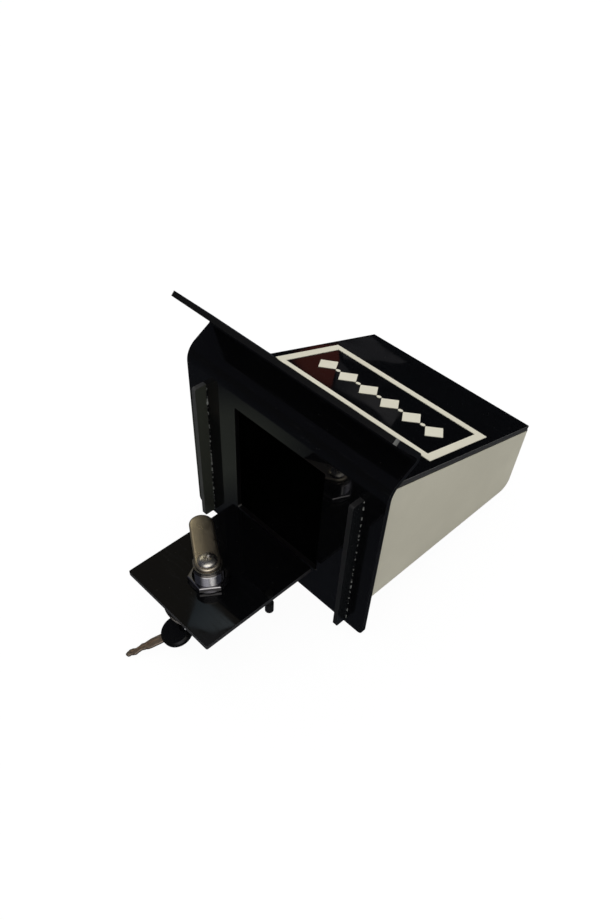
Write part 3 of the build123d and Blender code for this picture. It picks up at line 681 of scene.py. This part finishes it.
for long_x, long_y in ((cross_half, cross_arm), (cross_arm, cross_half)):
    rings = []
    for height, shrink in ((lever_top + 0.6, cross_taper), (lever_top + 3.0, 1.0)):
        half_x = max(long_x * shrink, cross_least)
        half_y = max(long_y * shrink, cross_least)
        rings.append([
            build.verts.new((sx * half_x, lock_y + sy * half_y, height))
            for sx, sy in ((-1, -1), (1, -1), (1, 1), (-1, 1))
        ])
    span_rings(build, rings)
turn_cross = (Matrix.Translation((0, lock_y, 0))
              @ Matrix.Rotation(math.radians(cross_turn), 4, "Z")
              @ Matrix.Translation((0, -lock_y, 0)))
bmesh.ops.transform(build, matrix=turn_cross, verts=build.verts)
cutter_mesh = bpy.data.meshes.new("cross cutter")
build.to_mesh(cutter_mesh)
build.free()
cutter_mesh.transform(laid @ Matrix.Scale(millimetre, 4))
cutter = bpy.data.objects.new("cross_cutter", cutter_mesh)
bpy.context.scene.collection.objects.link(cutter)
recess = screw.modifiers.new("cross recess", "BOOLEAN")
recess.operation = "DIFFERENCE"
recess.solver = "EXACT"
recess.use_self = True
recess.object = cutter
bpy.context.view_layer.update()
evaluated = screw.evaluated_get(bpy.context.evaluated_depsgraph_get())
cut_mesh = bpy.data.meshes.new_from_object(evaluated)
screw.modifiers.clear()
screw.data = cut_mesh
cut_mesh.set_sharp_from_angle(angle=math.radians(35))
bpy.data.objects.remove(cutter)
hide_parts("cam_screw")

# --- keys -----------------------------------------------------------------------------
# Two keys: a nickel-silver blade, rubbed warm, with a groove down each face and smooth worn
# cuts, moulded into a round black bow.
bow_finish = black_moulding("black key plastic", 0.002, 0.24, 1700.0)
blade_finish = metal("key nickel", (0.74, 0.61, 0.47), (0.52, 0.4, 0.29), 0.38, grain=900.0,
                     pitted=0.25)
blade_start = 11.1            # all along the key, from the middle of its eye
blade_end = 40.2
half_thickness = 0.9
edge_round = 0.28             # chamfer along the blade's four edges
groove_half = 0.6
groove_floor = 0.5
groove_start = 18.1
groove_end = 37.0
groove_side = 0.15
groove_wall = 0.45            # least metal left beside the groove
left_edge = ((11.1, 2.78), (24.0, 2.78), (26.2, 2.6), (28.4, 1.9), (30.6, 1.45), (32.4, 1.75),
             (34.6, 2.35), (36.2, 1.9), (37.6, 1.35), (38.8, 1.5), (39.7, 1.2), (40.2, 0.5))
right_edge = ((11.1, 2.78), (23.2, 2.78), (25.2, 2.45), (27.4, 2.05), (29.4, 2.3), (31.6, 1.6),
              (33.6, 1.3), (35.4, 1.95), (37.2, 2.1), (38.6, 1.6), (39.7, 1.1), (40.2, 0.5))
blade_stations = 96


def edge_at(edge, place):
    """Half width of the blade at a place along it, eased between the filed points."""
    for (start, before), (end, after) in zip(edge, edge[1:]):
        if place <= end:
            share = (place - start) / (end - start)
            share = share * share * (3 - 2 * share)
            return before + (after - before) * share
    return edge[-1][1]


for key, body, eye_at, onwards, face_up in (
    ("lock_key", "lock_key", (0, lock_y, 0.3397), (0, 0, 1), (0.843391, -0.5373, 0)),
    ("spare_key", "spare_key", (3.9508, -75.7494, 6.1291), (-0.407261, -0.845148, -0.346212),
     (-0.117127, -0.327612, 0.937524)),
):
    dress(key + "_bow", bow_finish)
    ease_edges(key + "_bow", 0.0006, 4)
    onwards = Vector(onwards).normalized()
    face_up = Vector(face_up).normalized()
    edgewise = face_up.cross(onwards)
    build = bmesh.new()
    rings = []
    for station in range(blade_stations + 1):
        place = blade_start + (blade_end - blade_start) * station / blade_stations
        left, right = edge_at(left_edge, place), edge_at(right_edge, place)
        deep = groove_floor if groove_start < place < groove_end else half_thickness - 0.02
        wide = min(groove_half, left - groove_wall, right - groove_wall)
        wide = max(wide, 0.05)
        upper = [(left, half_thickness - edge_round), (left - edge_round, half_thickness),
                 (wide + groove_side, half_thickness), (wide, deep), (-wide, deep),
                 (-wide - groove_side, half_thickness), (-right + edge_round, half_thickness),
                 (-right, half_thickness - edge_round)]
        outline = upper + [(across, -up) for across, up in reversed(upper)]
        rings.append([
            build.verts.new(Vector(eye_at) + onwards * place + edgewise * across + face_up * up)
            for across, up in outline
        ])
    span_rings(build, rings)
    bmesh.ops.recalc_face_normals(build, faces=build.faces)
    blade = settle(key + " blade", key + "_blade_cut", build, body, blade_finish)
    blade.data.set_sharp_from_angle(angle=math.radians(40))
    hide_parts(key + "_blade")

# --- key ring -------------------------------------------------------------------------
# A split ring: two turns of flattened nickel-plated spring wire pressed face to face, one
# stepping over to the other beside its ends.
ring_finish = metal("ring nickel", (0.4, 0.38, 0.35), (0.28, 0.26, 0.24), 0.22)
ring_middle = Vector((-7.22322, -66.6882, 5.50016))
ring_out = Vector((-0.501612, -0.787374, 0.358368)).normalized()
ring_axis = Vector((0.192551, 0.302244, 0.93358)).normalized()
ring_side = ring_axis.cross(ring_out)
ring_radius = 14.4
wire_half_width = 0.68
wire_half_thickness = 0.33
turn_offset = 0.36
ring_steps = 288
ring_start = 4.0              # degrees round from the ring's outward line
ring_turns = 712.0
wire_sides = 12
wire_squareness = 0.6         # 1 is an oval wire, less is a flatter one
step_over_start = 342.0       # degrees round the first turn where the wire crosses over
step_over_end = 375.0
build = bmesh.new()
rings = []
for station in range(ring_steps + 1):
    degrees = ring_start + ring_turns * station / ring_steps
    over = min(max((degrees - step_over_start) / (step_over_end - step_over_start), 0.0), 1.0)
    over = over * over * (3 - 2 * over)
    rise = -turn_offset + 2 * turn_offset * over
    turn = math.radians(degrees)
    outwards = ring_out * math.cos(turn) + ring_side * math.sin(turn)
    end_taper = min(1.0, 0.55 + 0.15 * min(station, ring_steps - station))
    ring = []
    for corner in range(wire_sides):
        angle = 2 * math.pi * corner / wire_sides
        wide, thick = (math.copysign(abs(part) ** wire_squareness, part)
                       for part in (math.cos(angle), math.sin(angle)))
        wide *= wire_half_width
        thick *= wire_half_thickness
        ring.append(build.verts.new(
            ring_middle + outwards * (ring_radius + wide * end_taper)
            + ring_axis * (rise + thick * end_taper)))
    rings.append(ring)
span_rings(build, rings)
bmesh.ops.recalc_face_normals(build, faces=build.faces)
split_ring = settle("split ring", "key_ring_split", build, "ring", ring_finish)
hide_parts("key_ring")

# --- floor, light and surroundings ----------------------------------------------------
# A pale matt table under a broad soft light. Dim cards, seen only in reflections, stand for
# the walls, the window and the furniture of a room, and keep the polished black sheet black.
floor_mesh = bpy.data.meshes.new("table")
floor_reach = 4.0
floor_height = -0.0002
floor_mesh.from_pydata(
    [(-floor_reach, -floor_reach, floor_height), (floor_reach, -floor_reach, floor_height),
     (floor_reach, floor_reach, floor_height), (-floor_reach, floor_reach, floor_height)],
    [], [(0, 1, 2, 3)])
floor = bpy.data.objects.new("table", floor_mesh)
bpy.context.scene.collection.objects.link(floor)
floor_finish, tree, shader = new_finish("pale matt table")
path = tree.nodes.new("ShaderNodeLightPath")
seen = maths(tree, "MAXIMUM", path.outputs["Is Camera Ray"], path.outputs["Is Glossy Ray"])
seen = maths(tree, "MAXIMUM", seen, path.outputs["Is Transmission Ray"])
tree.links.new(blend_colours(tree, seen, (0.5, 0.5, 0.49), (0.9, 0.9, 0.9)),
               shader.inputs["Base Color"])
shader.inputs["Roughness"].default_value = 0.9
shader.inputs["Specular IOR Level"].default_value = 0.1
glow = wire(tree, "Emission", {"Color": (1, 1, 1, 1), "Strength": 1.03})
share = maths(tree, "MULTIPLY", seen, 0.93)
lit = wire(tree, "MixShader", {0: share, 1: shader.outputs[0], 2: glow})
tree.links.new(lit, tree.nodes["Material Output"].inputs["Surface"])
floor_mesh.materials.append(floor_finish)


def card(name, corners, colour, beyond=None, middle=(0, 0, 0), inner=1.0, outer=2.0):
    """A glowing card that only reflections see; its colour may fade from a middle outwards."""
    mesh = bpy.data.meshes.new(name)
    mesh.from_pydata(corners, [], [tuple(range(len(corners)))])
    piece = bpy.data.objects.new(name, mesh)
    bpy.context.scene.collection.objects.link(piece)
    finish, tree, shader = new_finish(name)
    place = wire(tree, "TexCoord", out="Object")
    away = wire(tree, "VectorMath", {0: place, 1: middle}, out="Value", operation="DISTANCE")
    cloud = wire(tree, "TexNoise", {"Vector": place, "Scale": 9.0, "Detail": 3.0}, out="Fac")
    away = maths(tree, "ADD", away, spread(tree, cloud, 0.3, 0.7, -0.3 * inner, 0.3 * inner))
    shade = blend_colours(tree, spread(tree, away, inner, outer, 0.0, 1.0), colour,
                          beyond or colour)
    dim = wire(tree, "Emission", {"Color": shade, "Strength": 1.0})
    tree.links.new(dim, tree.nodes["Material Output"].inputs["Surface"])
    mesh.materials.append(finish)
    for unseen_by in ("camera", "diffuse", "shadow", "transmission"):
        setattr(piece, "visible_" + unseen_by, False)


def wall(axis, at, low, high):
    """Corners of a broad card at a place along an axis; an upright one has a foot and a top."""
    wide = 2.6
    if axis == "x":
        return [(at, -wide, low), (at, wide, low), (at, wide, high), (at, -wide, high)]
    if axis == "y":
        return [(-wide, at, low), (wide, at, low), (wide, at, high), (-wide, at, high)]
    return [(-wide, -wide, at), (wide, -wide, at), (wide, wide, at), (-wide, wide, at)]


card("table_card", wall("z", -0.0001, 0, 0), (0.15, 0.165, 0.14), (0.034, 0.037, 0.046),
     (-0.112, -0.084, 0), 0.030, 0.075)
card("ceiling_card", wall("z", 1.3, 0, 0), (0.105, 0.095, 0.073), (0.045, 0.047, 0.06),
     (-1.05, 0.62, 1.3), 0.38, 0.78)
card("far_card", wall("y", 1.7, -0.3, 1.4), (0.005, 0.006, 0.008))
card("left_card", wall("x", -2.2, -0.3, 1.4), (0.10, 0.09, 0.07))
card("near_card", wall("y", -2.0, -0.3, 1.4), (0.035, 0.036, 0.04))
card("right_card", wall("x", 2.2, -0.3, 1.4), (0.05, 0.05, 0.052))
card("skylight_card", [(-0.778, 0.526, 1.25), (-0.613, 0.533, 1.25), (-0.635, 0.477, 1.25),
                       (-0.698, 0.438, 1.25)],
     (0.52, 0.6, 0.64), (0.27, 0.34, 0.39), (-0.61, 0.53, 1.25), 0.04, 0.13)
card("sill_card", [(-0.698, 0.438, 1.26), (-0.635, 0.477, 1.26), (-0.613, 0.533, 1.26),
                   (-0.602, 0.429, 1.26)], (0.17, 0.17, 0.17))
card("red_card", [(-1.223, 1.69, 0.296), (-1.149, 1.69, 0.223), (-1.081, 1.69, 0.175),
                  (-1.046, 1.69, 0.225), (-1.029, 1.69, 0.318), (-1.128, 1.69, 0.322)],
     (0.16, 0.038, 0.027))
card("grey_card", [(-1.046, 1.69, 0.225), (-1.019, 1.69, 0.306), (-0.885, 1.69, 0.302),
                   (-0.771, 1.69, 0.303), (-0.767, 1.69, 0.248), (-0.902, 1.69, 0.258)],
     (0.11, 0.108, 0.112), (0.045, 0.045, 0.05), (-0.8, 1.69, 0.27), 0.08, 0.2)
card("haze_card", [(-1.09, 1.69, 0.161), (-0.986, 1.69, 0.108), (-0.825, 1.69, 0.114),
                   (-1.033, 1.69, 0.212)], (0.055, 0.055, 0.06))
card("warm_card", [(-2.0, -0.05, 1.27), (-1.22, -0.05, 1.27), (-1.18, 0.7, 1.27),
                   (-2.0, 0.7, 1.27)], (0.8, 0.73, 0.55))
card("window_card", [(0.0, -1.3, 0.2), (1.4, -0.4, 0.2), (1.3, -0.3, 1.2), (-0.1, -1.2, 1.2)],
     (0.75, 0.73, 0.79), (0.05, 0.05, 0.052), (0.6, -0.8, 0.75), 0.2, 0.75)
card("roof_light_card", [(-0.05, -1.5, 1.22), (1.6, -1.5, 1.22), (1.6, 0.5, 1.22),
                         (-0.05, 0.5, 1.22)], (1.35, 1.31, 1.24), (0.045, 0.047, 0.06),
     (0.62, -0.42, 1.22), 0.42, 0.9)

lamp_data = bpy.data.lights.new("soft light", "AREA")
lamp_data.shape = "RECTANGLE"
lamp_data.size = 1.2
lamp_data.size_y = 1.2
lamp_data.energy = 3.8
lamp = bpy.data.objects.new("soft_light", lamp_data)
bpy.context.scene.collection.objects.link(lamp)
lamp_place = Vector((-0.35, 0.25, 1.1))
lamp_aim = (lamp_place - Vector((0, 0, 0.06))).to_track_quat("Z", "Y").to_matrix().to_4x4()
lamp.matrix_world = Matrix.Translation(lamp_place) @ lamp_aim
lamp.visible_glossy = False

world = bpy.data.worlds.new("room")
bpy.context.scene.world = world
world.use_nodes = True
tree = world.node_tree
path = tree.nodes.new("ShaderNodeLightPath")
seen = maths(tree, "MAXIMUM", path.outputs["Is Camera Ray"], path.outputs["Is Glossy Ray"])
seen = maths(tree, "MAXIMUM", seen, path.outputs["Is Transmission Ray"])
room = blend_colours(tree, seen, (0.66, 0.66, 0.66), (1.0, 1.0, 1.0))
tree.links.new(room, tree.nodes["Background"].inputs["Color"])
bpy.context.scene.view_settings.view_transform = "Standard"
